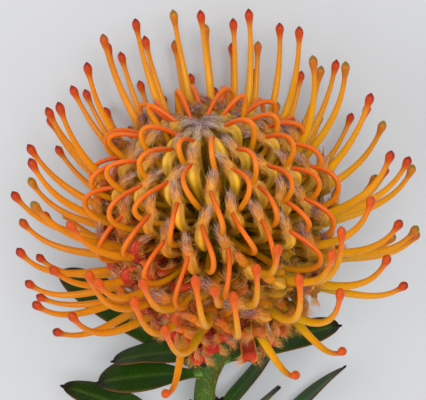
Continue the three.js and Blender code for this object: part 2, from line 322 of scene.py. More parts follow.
def add_node(nodes, kind, sockets=None, **settings):
    """Adds a shader node and returns its outputs."""
    node = nodes.new("ShaderNode" + kind)
    for name, value in settings.items():
        setattr(node, name, value)
    fill(node, sockets or {})
    return node.outputs


def noise(nodes, scale, detail):
    place = add_node(nodes, "TexCoord")["Object"]
    return add_node(nodes, "TexNoise", {"Vector": place, "Scale": scale, "Detail": detail})["Fac"]


def remap(nodes, value, low, high, start=0.3, end=0.7):
    ends = {"From Min": start, "From Max": end, "To Min": low, "To Max": high}
    return add_node(nodes, "MapRange", {"Value": value, **ends})["Result"]


def tinted(name, roughness, blotch, grain, bump, gloss=0.25, through=0.0, coat=0.0):
    """A surface in its painted tint, with soft blotches, a fine grain and relief.

    blotch and grain are (features per metre, how far they lighten and darken the tint), and
    through is how much of the light goes some way into the surface.
    """
    material, nodes, shader = new_material(name)
    tint = add_node(nodes, "Attribute", attribute_name="tint")["Color"]
    coarse, fine = noise(nodes, blotch[0], 3), noise(nodes, grain[0], 5)
    soft = remap(nodes, coarse, 1 - blotch[1], 1 + blotch[1])
    sharp = remap(nodes, fine, 1 - grain[1], 1 + grain[1])
    both = add_node(nodes, "Math", {0: soft, 1: sharp}, operation="MULTIPLY")["Value"]
    colour = add_node(nodes, "VectorMath", {0: tint, "Scale": both}, operation="SCALE")["Vector"]
    relief = {"Strength": bump, "Distance": 0.0003, "Height": fine}
    looks = {
        "Base Color": colour,
        "Roughness": remap(nodes, fine, *roughness),
        "Normal": add_node(nodes, "Bump", relief)["Normal"],
        "Specular IOR Level": gloss,
        "Coat Weight": coat,
        "Coat Roughness": 0.1,
        "Subsurface Weight": through,
        "Subsurface Radius": (1.0, 0.45, 0.15),
        "Subsurface Scale": 0.0012,
    }
    fill(shader, looks)
    return material


def hair_material(name, colour):
    material, _, shader = new_material(name)
    fill(shader, {"Base Color": (*linear(colour), 1), "Roughness": 0.5, "Specular IOR Level": 0.1})
    return material


MATERIALS = [
    tinted(
        "waxy_style", roughness=(0.24, 0.34), blotch=(90, 0.07), grain=(1500, 0.03), bump=0.04,
        gloss=0.13, through=0.25, coat=0.06,
    ),
    tinted(
        "perianth", roughness=(0.34, 0.46), blotch=(260, 0.16), grain=(1600, 0.08), bump=0.12,
        gloss=0.16, through=0.3, coat=0.05,
    ),
    tinted(
        "wool", roughness=(0.7, 0.9), blotch=(300, 0.25), grain=(1800, 0.3), bump=0.8, gloss=0.1,
    ),
    tinted(
        "leaf_blade", roughness=(0.34, 0.5), blotch=(60, 0.22), grain=(900, 0.14), bump=0.35,
        gloss=0.22,
    ),
    tinted("stem_bark", roughness=(0.5, 0.72), blotch=(140, 0.25), grain=(1500, 0.2), bump=0.6),
    hair_material("hair_lilac", "#8c6a7c"),
    hair_material("hair_silver", "#d8beac"),
    hair_material("hair_rose", "#e07c34"),
    hair_material("hair_straw", "#e0a028"),
    hair_material("hair_ivory", "#e8b444"),
    hair_material("hair_olive", "#a4861a"),
    hair_material("hair_cream", "#e6b064"),
]
WAX, PERIANTH, WOOL, LEAF, STEM = range(5)
LILAC, SILVER, ROSE, STRAW, IVORY, OLIVE, CREAM = range(5, len(MATERIALS))

# ---- where each floret is, and its colours ----


class Floret:
    """Where a floret is on the head, and what sets it apart from the others."""

    def __init__(self, n):
        self.n = n
        self.rng = np.random.default_rng(FLORET_SEED + n)
        self.young = n < TIP_FLORETS
        share = (n + 0.5) / FLORETS
        self.polar = np.degrees(np.arccos(1 - (1 - np.cos(np.radians(LAST_POLAR))) * share))
        self.azimuth = -(SPIRAL_START + n * (TIP_DIVERGENCE if self.young else DIVERGENCE))

        # Unit vectors out from the middle, away from the tip of the head, and round the axis.
        self.outward = direction(self.polar, self.azimuth)
        self.away = direction(self.polar + 90, self.azimuth)
        self.aside = direction(90, self.azimuth + 90)
        self.base = self.outward * [BASE_RADIUS, BASE_RADIUS, BASE_HALF_HEIGHT]
        self.base[2] += RECEPTACLE_MIDDLE

        # 1 on the side of the lying flower that faces up, and 1 on its right side.
        self.up = -np.sin(np.radians(self.azimuth))
        self.right = np.cos(np.radians(self.azimuth))
        self.open = self.polar > OPEN_FROM + OPEN_LATER * self.up + 3 * self.vary(7)

        # The perianth is red on the left and round the lower edge of the head, and yellow on the
        # right. Some lobes on the left are scarlet outside, and some limbs are silvery lilac.
        left = smooth(-self.right, -0.2, 0.9) * smooth(self.polar, 45, 80)
        low = smooth(self.polar, 85, 115) * smooth(self.up, -0.2, 0.7)
        self.red = np.clip(0.9 * left + 0.7 * low + 0.15 * self.vary(11), 0, 1)
        self.yellow = smooth(self.right, 0, 0.8)
        left = smooth(-self.right, 0.25, 0.7) * smooth(self.polar, 55, 75)
        self.scarlet = left * smooth(self.vary(28), -0.8, 0)
        self.mauve = smooth(self.vary(29), 0.1, 0.5)

    def vary(self, use):
        """A repeatable value from -1 to 1 that differs from floret to floret and from use to use.

        It is the usual hash by a sine, and its three numbers only have to be large and uneven.
        """
        value = np.sin(self.n * 12.9898 + use * 78.233) * 43758.5453
        return 2 * (value - np.floor(value)) - 1

    def edge_hairs(self):
        """Hair colours along the edges of the perianth."""
        rose = 0.3 + 0.4 * self.red - 0.2 * self.yellow
        olive = 0.2 - 0.2 * self.red + 0.2 * self.yellow
        return [(ROSE, rose), (STRAW, 0.5), (CREAM, 0.25), (OLIVE, olive)]

    def fringe_hairs(self):
        """Hair colours along the edges of an open lobe, paler than elsewhere."""
        return [(ROSE, 0.25 + 0.3 * self.red), (STRAW, 0.3), (CREAM, 0.5), (SILVER, 0.2)]


def clear_of_floor(points, height):
    """Points, lifted where they would be lower than a height above the floor."""
    rise = np.radians(AXIS_RISE)
    up = np.array([0, -np.cos(rise), np.sin(rise)])
    lift = np.maximum(height - (CENTRE_HEIGHT + points @ up), 0)
    return points + lift[:, None] * up


# ---- hairs on a swept part ----


def fuzz(
    shape, track, sizes, count, where, rng, length, lean, spread, colours, radius, turns=(0, 360)
):
    """Hairs over a swept part.

    sizes are its half width and half height, where and turns are the ranges of t along it and of
    the angle round it, lean is how far the hairs lie down along the path, spread is how unruly they
    are, and colours are (hair, share).
    """
    t = rng.uniform(*where, count)
    turn = np.radians(rng.uniform(*turns, count))[:, None]
    points, ahead, across, out, width, height = track.spots(t, *sizes)
    roots = points + HAIR_ROOTS * (across * np.cos(turn) * width + out * np.sin(turn) * height)
    sideways = across * np.cos(turn) + out * np.sin(turn)
    ways = unit(lerp(sideways, ahead, lean)) + rng.normal(0, spread, (count, 3))
    lengths = rng.uniform(*length, count)
    bends = ahead * 0.5 + rng.normal(0, 0.3, (count, 3))
    faces_to = sideways + rng.normal(0, 0.35, (count, 3))
    kinds, shares = zip(*colours)
    materials = rng.choice(kinds, count, p=np.array(shares) / sum(shares))
    shape.hairs(roots, ways, lengths, bends, faces_to, materials, radius)


# ---- colours of the florets ----

STYLE_COLOURS = [
    (0, "#7c7a10"), (0.28, "#c0940c"), (0.45, "#d89c10"), (0.7, "#de9614"), (0.86, "#d68a18"),
    (0.91, "#d2801e"), (0.93, "#cc6c20"), (0.95, "#c45018"), (0.975, "#b83c14"), (0.99, "#9a2a10"),
    (1, "#501408"),
]
STYLE_RADII = [
    (0.1, 1.05), (0.3, 1.22), (0.45, 1.18), (0.6, 1.0), (0.75, 0.82), (0.86, 0.68), (0.91, 0.69),
    (0.93, 0.84), (0.948, 1.04), (0.962, 1.22), (0.974, 1.2), (0.984, 0.96), (0.992, 0.58),
    (0.997, 0.26), (1.0, 0.06),
]
HOOP_COLOURS = [
    (0, "#a8800c"), (0.25, "#d28c0c"), (0.5, "#d67a10"), (0.75, "#d46010"), (1, "#cc4812"),
]


def ribbed_colours(f, t, turn, ribs):
    """Bright along a perianth tube's crest, partly as painted highlight, darker at its flanks, pale
    between.
    """
    red = f.red
    warmth = smooth(f.polar, 28, 65) * (1 - 0.6 * f.yellow)
    # Both tables darken towards the foot, deep in the head: partly the tube's own olive, partly
    # painted shade.
    crest = mixed(
        [(0, "#7a6408"), (0.35, "#b09410"), (0.6, "#dcb01c"), (0.82, "#ecbc38"), (1, "#e0a848")],
        [(0, "#8a4a08"), (0.5, "#d88408"), (0.8, "#e8a020"), (1, "#dc9040")],
        np.clip(0.8 * red + 0.65 * warmth, 0, 1), t,
    )
    fiery = shades([(0, "#8a2c08"), (0.5, "#d85008"), (0.8, "#e46c1c"), (1, "#dc6c30")], t)
    crest = lerp(crest, fiery, smooth(red, 0.3, 0.9))
    flank = mixed(
        [(0, "#5a4004"), (0.35, "#8a6806"), (0.6, "#a8820c"), (0.82, "#b88a20"), (1, "#b88440")],
        [(0, "#6a2c04"), (0.5, "#a85008"), (1, "#c07024")],
        0.1 + 0.3 * warmth + 0.5 * red, t,
    )
    flank = lerp(flank, linear("#9c1410"), 0.8 * f.scarlet)
    crest = lerp(crest, linear("#d42c20"), 0.7 * f.scarlet)
    # Painted highlight along the crest and painted shade on the flanks and underside, over the
    # tube's own yellow to scarlet colours, lighter on the ribs' tops and darker in their grooves.
    lit_crest_share = np.clip(np.sin(turn), 0, 1) ** 0.7 * (0.6 + 0.4 * ribs)
    colours = lerp(flank[:, None], crest[:, None], lit_crest_share[:, None])
    edges = 0.55 * np.abs(np.cos(turn))[:, None] ** 5 * smooth(t, 0.2, 0.6)[:, None, None]
    return lerp(colours, lerp(linear("#d8b44c"), linear("#e09440"), red), edges)


def lobe_colours(f, t, u, hangs):
    """Colours of the outer and inner faces of a lobe, at t along it and u across it, with painted
    shade.
    """
    red, yellow = f.red, f.yellow
    # These colours darken towards the lobe's foot, deep among the florets: partly the perianth's
    # own olive, partly painted shade.
    outer = mixed(
        [(0, "#5e4c04"), (0.35, "#c08c04"), (0.6, "#e8a008"), (1, "#e09418")],
        [(0, "#7a2c04"), (0.35, "#cc5c04"), (0.6, "#e87808"), (1, "#e06818")],
        np.clip(0.3 + 0.7 * red + 0.25 * f.vary(27) - 0.3 * yellow, 0, 1), t,
    )
    pale = shades([(0, "#5e5408"), (0.35, "#a88c10"), (0.6, "#d0a420"), (1, "#cc9830")], t)
    paleness = np.clip(0.5 * smooth(f.vary(30), -0.3, 0.6) + yellow, 0, 1)
    outer = lerp(outer, pale, (1 - red) * paleness)
    crimson = shades([(0, "#6a0808"), (0.4, "#b8101c"), (0.7, "#cc1c24"), (1, "#d43428")], t)
    outer = lerp(outer, crimson, 0.9 * f.scarlet)
    inner = mixed(
        [(0, "#4a3004"), (0.5, "#a86008"), (1, "#b86410")],
        [(0, "#463c04"), (0.5, "#907408"), (1, "#a88010")],
        yellow, t,
    )
    inner = lerp(inner, shades([(0, "#5c0a04"), (0.5, "#b01410"), (1, "#c42c14")], t), red)
    # Painted shade: darker along three grooves down the outer face and, on a rounded lobe, towards
    # its curled-under sides, leaving its crown lighter.
    painted_groove_shade = (0.84 + 0.16 * np.cos(3 * np.pi * u))[:, None]
    crown = 1 if hangs else (0.45 + 0.55 * np.cos(1.5 * u))[:, None]
    edge = shades([(0, "#b88c28"), (1, "#e0a050")], t)[:, None]
    rim = np.abs(u)[:, None] ** 6
    outer = lerp(outer[:, None] * painted_groove_shade * crown, edge, 0.2 * rim)
    return outer, lerp(inner[:, None], edge, 0.3 * rim)


def style_colours(f, t, turn):
    """Yellow to orange, with a darker tip whose colour differs from floret to floret."""
    up = smooth(f.up, 0.3, 0.8)
    colours = shades(STYLE_COLOURS, t)
    greener = 0.6 * smooth(f.polar, 95, 115) * (1 - smooth(t, 0.3, 0.6))
    colours = lerp(colours, linear("#a8a014"), greener[:, None])
    glow = 0.45 * smooth(-f.right, 0, 0.8) * smooth(t, 0.15, 0.4) * (1 - smooth(t, 0.84, 0.92))
    colours = lerp(colours, linear("#d86c10"), glow[:, None])
    colours = lerp(colours, linear("#e46414"), 0.6 * up * smooth(t, 0.8, 0.9)[:, None])
    # A darker maroon rim down one side of the bulb: partly the presenter's own rim, partly painted
    # shade, less on florets that face up.
    rim = np.clip(np.sin(turn), 0, 1) ** 1.5 * smooth(t, 0.945, 0.97)[:, None]
    colours = lerp(colours[:, None], linear("#7c1410"), (0.75 - 0.6 * up) * rim[..., None])
    olive = (1 - up) * smooth(f.vary(31), 0.3, 0.6)
    bulb, point = smooth(t, 0.925, 0.945)[:, None, None], smooth(t, 0.978, 0.988)[:, None, None]
    colours = lerp(colours, linear("#bc8420"), 0.6 * olive * bulb)
    return lerp(colours, linear("#7a661c"), 0.85 * olive * point)


# ---- parts of a floret ----


def tuft(shape, f, points, across, size):
    """The silky end of an unopened floret or of a knuckle: cream at its foot, lilac at its tip."""
    t = parts(len(points))
    half = size * stops([(0, 1.3), (0.25, 1.45), (0.5, 1.25), (0.8, 0.8), (1, 0.25)], t)
    track = Track(points, across)
    red, youth = f.red, 1 - smooth(f.polar, 15, 40)
    old, purple = 1 - youth, 0.5 * f.open
    colours = mixed(
        [(0, "#d8962c"), (0.3, "#cc8a38"), (0.7, "#b47248"), (1, "#8a5c5c")],
        [(0, "#d86c14"), (0.3, "#cc6018"), (0.7, "#b04c30"), (1, "#844040")],
        red, t,
    )
    colours = lerp(colours, shades([(0, "#a89850"), (0.3, "#948474"), (1, "#5e4e5e")], t), youth)
    colours = lerp(colours, linear("#6c4456"), purple * smooth(t, 0.4, 0.9)[:, None])
    shape.skin(track.ovals(around(10), half, half * FLATNESS), colours[:, None], WOOL)

    foot_hairs = [
        (CREAM, 0.4 - 0.2 * red - 0.2 * youth), (IVORY, 0.3 * old), (ROSE, (0.2 + 0.5 * red) * old),
        (SILVER, 0.3 * youth), (OLIVE, 0.3 * youth),
    ]
    lilac = 0.2 + 0.5 * youth + purple + 0.2 * f.yellow * old
    tip_hairs = [
        (CREAM, 0.3 * old), (SILVER, 0.6 - 0.3 * red), (LILAC, lilac),
        (ROSE, (0.1 + 0.4 * red) * old),
    ]
    back, sizes = Track(points[::-1], across), np.array([half, half * FLATNESS])
    fuzz(
        shape, back, sizes[:, ::-1], int(0.3 * TUFT_HAIRS), (0.7, 1.0), f.rng,
        (1.4 * size, 2.8 * size), lean=0.8, spread=0.14, colours=foot_hairs, radius=0.034,
    )
    count = int(0.35 * TUFT_HAIRS)
    fuzz(
        shape, track, sizes, count, (0.0, 0.55), f.rng, (1.2 * size, 2.2 * size), lean=0.84,
        spread=0.16, colours=foot_hairs, radius=0.036,
    )
    fuzz(
        shape, track, sizes, count, (0.3, 0.98), f.rng, (1.3 * size, 2.8 * size), lean=0.86,
        spread=0.18, colours=tip_hairs, radius=0.036,
    )


def limb(shape, f, points, across, size, hairs):
    """The swollen end of an open floret's lobe: smooth at its foot, hairy towards its tip."""
    t = parts(len(points))
    half = size * stops([(0, 1.1), (0.25, 1.4), (0.5, 1.3), (0.8, 0.85), (1, 0.25)], t)
    track = Track(points, across)
    red, lilac = f.red, f.mauve
    colours = mixed(
        [(0, "#e0a00c"), (0.4, "#dc9414"), (0.75, "#c87830"), (1, "#8e5430")],
        [(0, "#dc6c10"), (0.4, "#d45c14"), (0.75, "#b8442c"), (1, "#843030")],
        np.clip(0.3 + 0.7 * red, 0, 1), t,
    )
    colours = lerp(colours, linear("#c81c24"), 0.7 * f.scarlet)
    colours = lerp(colours, linear("#8e6460"), 0.8 * lilac * smooth(t, 0.2, 0.8)[:, None])
    shape.skin(track.ovals(around(12), half, half * FLATNESS), colours[:, None], WOOL)

    foot_hairs = [(ROSE, 0.4 + 0.4 * red), (STRAW, 0.4), (CREAM, 0.3)]
    tip_hairs = [
        (ROSE, 0.4), (CREAM, 0.4 + 0.4 * lilac), (SILVER, 0.8 * lilac), (LILAC, 0.5 * lilac),
    ]
    sizes = (half, half * FLATNESS)
    fuzz(
        shape, track, sizes, hairs, (0.0, 0.6), f.rng, (1.0 * size, 2.0 * size), lean=0.84,
        spread=0.15, colours=foot_hairs, radius=0.03,
    )
    fuzz(
        shape, track, sizes, int(hairs * (1 + lilac)), (0.3, 0.98), f.rng, (1.3 * size, 2.8 * size),
        lean=0.86, spread=0.18, colours=tip_hairs, radius=0.033,
    )


def ribbed_tube(shape, f, track, half, hairs):
    """A ribbed, hairy perianth tube."""
    turn = around(20)
    ribs = np.cos(RIBS * (turn - np.pi / 2))
    sizes = (half, half * FLATNESS)
    rings = track.ovals(turn, *sizes, relief=1 + 0.1 * ribs)
    shape.skin(rings, ribbed_colours(f, parts(len(half)), turn, ribs), PERIANTH)
    for side in (0, 180):
        fuzz(
            shape, track, sizes, hairs, (0.4, 1.0), f.rng, (1.2, 2.4), lean=0.7, spread=0.2,
            colours=f.edge_hairs(), radius=0.03, turns=(side - 40, side + 40),
        )
    fuzz(
        shape, track, sizes, hairs, (0.15, 0.95), f.rng, (1.4, 2.8), lean=0.84, spread=0.16,
        colours=[(OLIVE, 0.4), (STRAW, 0.5), (IVORY, 0.1)], radius=0.026,
    )


def hoop(shape, f, foot, loop_out, over, end, sideways):
    """The style of an unopened floret, held at both its ends."""
    t = parts(34)
    sway = 4.2 * f.vary(12) * np.sin(np.pi * t) ** 1.5 + 1.2 * f.vary(13) * np.sin(2 * np.pi * t)
    points = bezier(foot, loop_out, over, end, t) + sway[:, None] * sideways
    track = Track(clear_of_floor(points, HOOP_CLEARANCE), f.aside)
    thick = stops([(0, 0.8), (0.4, 0.78), (0.8, 0.66), (1, 0.6)], t)
    turn = around(10)
    # A painted highlight: a paler streak along the outer side of the hoop's bend.
    painted_highlight_streak = np.clip(np.sin(turn), 0, 1)[:, None] ** 4
    highlight_share = 0.25 * painted_highlight_streak * smooth(t, 0.2, 0.5)[:, None, None]
    colours = lerp(shades(HOOP_COLOURS, t)[:, None], linear("#f09434"), highlight_share)
    shape.skin(track.ovals(turn, thick, thick), colours, WAX)


def rolled(root, outward, over, top, radius, turn, steps, tightness=1.0, drift=(0, 0, 0)):
    """A path that runs out from its root, and then rolls over and drifts aside.

    top is how far it reaches from the middle of the head, turn is how far round it rolls, and
    tightness is what is left of its radius at its end.
    """
    length = top - radius - np.linalg.norm(root)
    straight = root + outward * (length * parts(6)[:-1])[:, None]
    angle = np.radians(np.linspace(0, turn, steps))[:, None]
    middle = root + outward * length + over * radius
    radii = radius * np.linspace(1.0, tightness, steps)[:, None]
    roll = middle + radii * (outward * np.sin(angle) - over * np.cos(angle))
    return np.concatenate([straight, roll + np.array(drift) * parts(steps)[:, None] ** 2])


def knuckle(shape, f, root, outward, over, top, radius, turn):
    """A lobe that stays a thick ribbed tube, bends over like a knuckle and ends in a silky tuft."""
    over = square_to(outward, over)
    across = np.cross(over, outward)
    points = rolled(root, outward, over, top, radius, turn, steps=14)
    points = clear_of_floor(points, KNUCKLE_CLEARANCE)
    half = stops([(0, 1.0), (0.3, 1.4), (0.6, 1.75), (0.85, 1.65), (1, 1.25)], parts(len(points)))
    track = Track(points, across)
    ribbed_tube(shape, f, track, half, 110)
    end_way = unit(track.ahead[-1] + 0.4 * outward)
    end = clear_of_floor(points[-1] + end_way * parts(8)[:, None] * 6.0, LOBE_CLEARANCE)
    if f.red < 0.6 and f.vary(29) > -0.4:
        tuft(shape, f, end, across, 1.2)
    else:
        limb(shape, f, end, across, 0.9, 80)


def lobe(shape, f, root, outward, over, top, radius, turn, drift, width, limb_size=0, hangs=False):
    """A perianth lobe that runs out from its root and rolls over, to a hairy limb if it has one.

    A lobe that hangs is a shallow trough with its hollow side out, and the others are rounded.
    """
    over = square_to(outward, over)
    across = np.cross(outward, over) * (1 if hangs else -1)
    points = rolled(
        root, outward, over, top, radius, turn, 17, tightness=0.72, drift=across * drift
    )
    points = clear_of_floor(points, LOBE_CLEARANCE)
    t = parts(len(points))
    track = Track(points, across)
    half = width / 2 * stops([(0, 0.75), (0.35, 1.0), (0.7, 0.9), (1, 0.6)], t)
    u = np.linspace(-1, 1, 7)
    curve = (1.3 if hangs else 1.9) * np.concatenate([u, u[::-1]])
    radii = half[:, None] - np.repeat([0, LOBE_THICKNESS], len(u))
    outer, inner = lobe_colours(f, t, u, hangs)
    rings = track.rings(np.sin(curve) * radii, (np.cos(curve) - 0.35) * radii)
    shape.skin(rings, np.concatenate([outer, inner[:, ::-1]], 1), PERIANTH)

    sizes = (half, half * 0.7)
    for side in (0, 180):
        fuzz(
            shape, track, sizes, int(20 * width), (0.25, 1.0), f.rng, (1.2, 3.2), lean=0.5,
            spread=0.24, colours=f.fringe_hairs(), radius=0.028, turns=(side - 25, side + 25),
        )
    fuzz(
        shape, track, sizes, int(12 * width), (0.3, 1.0), f.rng, (0.8, 1.8), lean=0.8, spread=0.2,
        colours=f.edge_hairs(), radius=0.026, turns=(30, 150),
    )
    if limb_size:
        end_way = unit(track.ahead[-1] * 0.8 + 0.7 * across * np.sign(drift) + outward * 0.4)
        end = points[-1] + end_way * parts(8)[:, None] * 5.5 * limb_size
        end = clear_of_floor(end, LOBE_CLEARANCE)
        limb(shape, f, end, track.out[-1], limb_size, int(100 * limb_size))


# ---- florets ----


def unopened_floret(shape, f):
    """A crook whose hairy limb still holds the tip of the style, which bows out of it as a hoop."""
    polar, azimuth = f.polar, f.azimuth
    head_tip = 2.8 if f.young else polar - 14.5 + 1.5 * f.vary(23)
    head_base = max(11.0, head_tip + 8)
    knee = max(15, polar + 2.5)
    reach = LIMB_REACH + 0.9 * f.vary(6)
    sideways = smooth(polar, 10, 40) * f.aside

    limb_foot = direction(head_base, azimuth, reach) + 0.9 * f.vary(21) * sideways
    tip = direction(head_tip, azimuth, reach + 1 + 0.8 * f.vary(24)) + 2.6 * f.vary(22) * sideways
    bend = direction(knee + 3 + 2 * f.vary(25), azimuth, reach + 4.2) + 1.2 * f.vary(26) * sideways
    rise = lerp(f.base, direction(knee, azimuth, 24), 0.6)
    crook = bezier(f.base, rise, bend, limb_foot, parts(20))
    half = stops([(0, 0.8), (0.35, 1.05), (0.7, 1.55), (0.88, 1.6), (1, 1.3)], parts(20))
    ribbed_tube(shape, f, Track(crook, f.aside), half, 120)
    s = parts(9)[:, None]
    limb_line = lerp(limb_foot, tip, s) + 0.7 * f.outward * np.sin(np.pi * s)
    tuft(shape, f, limb_line, f.aside, 0.85 if f.young else 1.0)

    lean = 2 + 3.8 * f.n if f.young else 1.5 + 2.5 * f.vary(5)
    narrow = 1 - 0.1 * smooth(f.right, 0.2, 1)
    foot = lerp(f.base, direction(polar + 4, azimuth, 26), 0.16)
    loop_polar, loop_reach = polar + 23 + 4 * f.vary(19), (27.5 + 1.5 * f.vary(32)) * narrow
    loop_out = foot + direction(loop_polar, azimuth - 0.6 * lean, loop_reach)
    over = limb_foot + direction(head_base + 37 + 5 * f.vary(20), azimuth - lean, 16.5 * narrow)
    hoop(shape, f, foot, loop_out, over, limb_foot + 0.6 * f.outward, sideways)


def open_style(f):
    """Control points of the path of an open floret's style."""
    polar, azimuth = f.polar, f.azimuth
    age = np.clip((polar - AGED_FROM) / (LAST_POLAR - AGED_FROM), 0, 1)
    oldest = f.n >= FLORETS - DROOPING
    hook = 0 if oldest else smooth(f.up, 0.35, 0.9) * smooth(polar, 84, 100)
    droop = smooth(f.up, 0.2, 0.6) if oldest else 0
    to_top = (90 - azimuth) % 360 - 180
    tip_polar = lerp(36, 110 - 24 * smooth(-f.up, 0.3, 1), age**0.9) + 3.5 * f.vary(1)
    tip_polar += 10 * droop - 14 * hook
    tip_azimuth = azimuth + 3 * f.vary(4) + (0.3 * to_top + 12 * f.vary(62)) * droop
    tip_reach = STYLE_REACH + 1.6 * f.vary(2) + 6 * (1 - age) * smooth(-f.up, 0.2, 1)
    tip_reach -= 9 * hook + 4 * droop
    end_polar = lerp(4, 38, age) - 30 * hook + 7 * f.vary(3)
    tip = direction(tip_polar, tip_azimuth, tip_reach)
    end = direction(end_polar, tip_azimuth, lerp(21, 15, age) + 5 * hook)
    first = direction(polar + 7 * age + 6 * hook, azimuth, 30 + 5 * hook)
    return f.base, first, tip - end, tip


def sheath(shape, f, path):
    """The hairy foot of an open floret's perianth, round the foot of its style."""
    t = np.linspace(0, SHEATH_END, 9)
    track = Track(clear_of_floor(bezier(*path, t), LOBE_CLEARANCE), f.aside)
    half = stops([(0, 1.0), (0.1, 1.9), (0.22, 2.3), (0.27, 2.0), (SHEATH_END, 1.3)], t)
    # Darker towards the foot, deep among the florets: partly the perianth's own olive, partly
    # painted shade.
    colours = mixed(
        [(0, "#5c4c08"), (0.12, "#8a6c08"), (SHEATH_END, "#c08c10")],
        [(0, "#6a3008"), (0.12, "#a04c08"), (SHEATH_END, "#d06c10")],
        np.clip(0.3 + f.red - 0.25 * f.yellow, 0, 1), t,
    )
    shape.skin(track.ovals(around(12), half, half), colours[:, None], PERIANTH)
    fuzz(
        shape, track, (2.0, 2.0), 110, (0.3, 1.0), f.rng, (1.0, 2.2), lean=0.75, spread=0.2,
        colours=f.edge_hairs(), radius=0.032,
    )


def open_floret(shape, f):
    """A long free style out of a split perianth, whose lobes roll back towards the tip."""
    outward, away, aside = f.outward, f.away, f.aside
    path = open_style(f)
    t = np.concatenate([np.linspace(0.1, 0.9, 26), np.linspace(0.915, 1, 13)])
    style = Track(clear_of_floor(bezier(*path, t), STYLE_CLEARANCE), aside)
    half, turn = stops(STYLE_RADII, t), around(12)
    shape.skin(style.ovals(turn, half, half), style_colours(f, t, turn), WAX)
    sheath(shape, f, path)

    split = bezier(*path, [SPLIT_AT])[0]
    side = 1 if f.vary(8) > 0 else -1
    if f.polar > FLAPS_FROM:
        further = 4 * smooth(f.polar, 108, 116) * smooth(f.up, 0.4, 0.8)
        for i, way in enumerate((side, -side)):
            root = split + aside * way
            sprout = unit(outward + 0.35 * away + (0.3 + 0.15 * f.vary(14 + i)) * way * aside)
            over = away + 0.3 * f.vary(16 + i) * aside
            top = 35 + 1.5 * f.vary(9 + i) + further
            lobe(shape, f, root, sprout, over, top, 3.6, 70, 0.8 * way, 5.0, hangs=True)
        side = -side

    root = split - away
    sprout = unit(outward - 0.1 * away + 0.12 * side * aside)
    if f.scarlet > 0.4:
        over, top = 0.6 * f.vary(14) * aside - away, 33 + f.vary(9)
        lobe(shape, f, root, sprout, over, top, 3.2, 120, 1.5 * side, 4.4, limb_size=0.7)
    else:
        over, top = 0.7 * (LEFTWARD - away) + 0.5 * f.vary(14) * aside, 33.5 + f.vary(9)
        radius, turn = 2.7 + 0.4 * f.vary(10), 102 + 15 * f.vary(15)
        knuckle(shape, f, root, sprout, over, top, radius, turn)

    for i, way in enumerate((-side, side)):
        root = split + aside * way * 1.5 - away * 0.4
        sprout = unit(outward + 0.05 * away + 0.22 * way * aside)
        over = way * aside + (0.9 * f.vary(16 + i) - 0.3) * away
        top, turn = 29.5 + 1.5 * f.vary(20 + i), 225 + 50 * f.vary(18 + i)
        lobe(shape, f, root, sprout, unit(over), top, 2.5, turn, 1.2 * way, 3.1, hangs=i == 1)


def florets():
    pieces = [(f"young_floret_{n + 1}", f"tip_floret_{n + 1}", [n]) for n in range(TIP_FLORETS)]
    for row in range(ROWS):
        n = TIP_FLORETS + row
        for part, count in ROW_PARTS.items():
            name = f"row_{row + 1:02d}_{part}"
            members = range(n, n + ROWS * count, ROWS)
            pieces.append((f"{name}_open_and_closed", f"{name}_florets", members))
            n += ROWS * count
    for name, node, members in pieces:
        shape = Shape()
        for n in members:
            f = Floret(n)
            make = open_floret if f.open else unopened_floret
            make(shape, f)
        shape.build(name, node)


# ---- receptacle, bracts and stem ----


def receptacle():
    shape = Shape()
    rng = np.random.default_rng(RECEPTACLE_SEED)
    t = np.linspace(0.02, 0.98, 40) * np.pi
    z = RECEPTACLE_MIDDLE - RECEPTACLE_HALF_HEIGHT * np.cos(t)
    half = RECEPTACLE_RADIUS * np.sin(t)
    track = Track(np.stack([0 * z, 0 * z, z], -1), [1, 0, 0])
    turn = around(36)
    bumps = 1 + 0.02 * np.cos(9 * t)[:, None] * np.cos(8 * turn)
    shape.skin(track.ovals(turn, half, half, bumps), linear("#6a5c10"), WOOL)
    fuzz(
        shape, track, (half, half), 1800, (0.05, 0.97), rng, (1.0, 2.2), lean=0.25, spread=0.3,
        colours=[(OLIVE, 0.7), (STRAW, 0.3)], radius=0.06,
    )
    shape.build("woolly_receptacle", "receptacle")


CUP_OUTLINE = [  # radius and height
    (4.7, -33), (4.7, -27.5), (7.4, -22.9), (8.5, -20.9), (9.4, -20.7), (8.4, -24.6), (6.6, -30),
    (5.6, -33),
]


def cup(shape):
    """The ring that the bracts grow on, round the top of the stem."""
    turn = around(40)
    spokes = np.stack([np.cos(turn), np.sin(turn), 0 * turn], -1)
    rings = np.array([spokes * radius + [0, 0, height] for radius, height in CUP_OUTLINE])
    corners = np.arange(rings[..., 0].size).reshape(rings.shape[:2])
    after = np.roll(corners, -1, 0)
    walls = np.stack([corners, after, np.roll(after, -1, 1), np.roll(corners, -1, 1)], -1)
    shape.add(rings, linear("#5d6a38"), [walls.reshape(-1, 4)], WOOL)


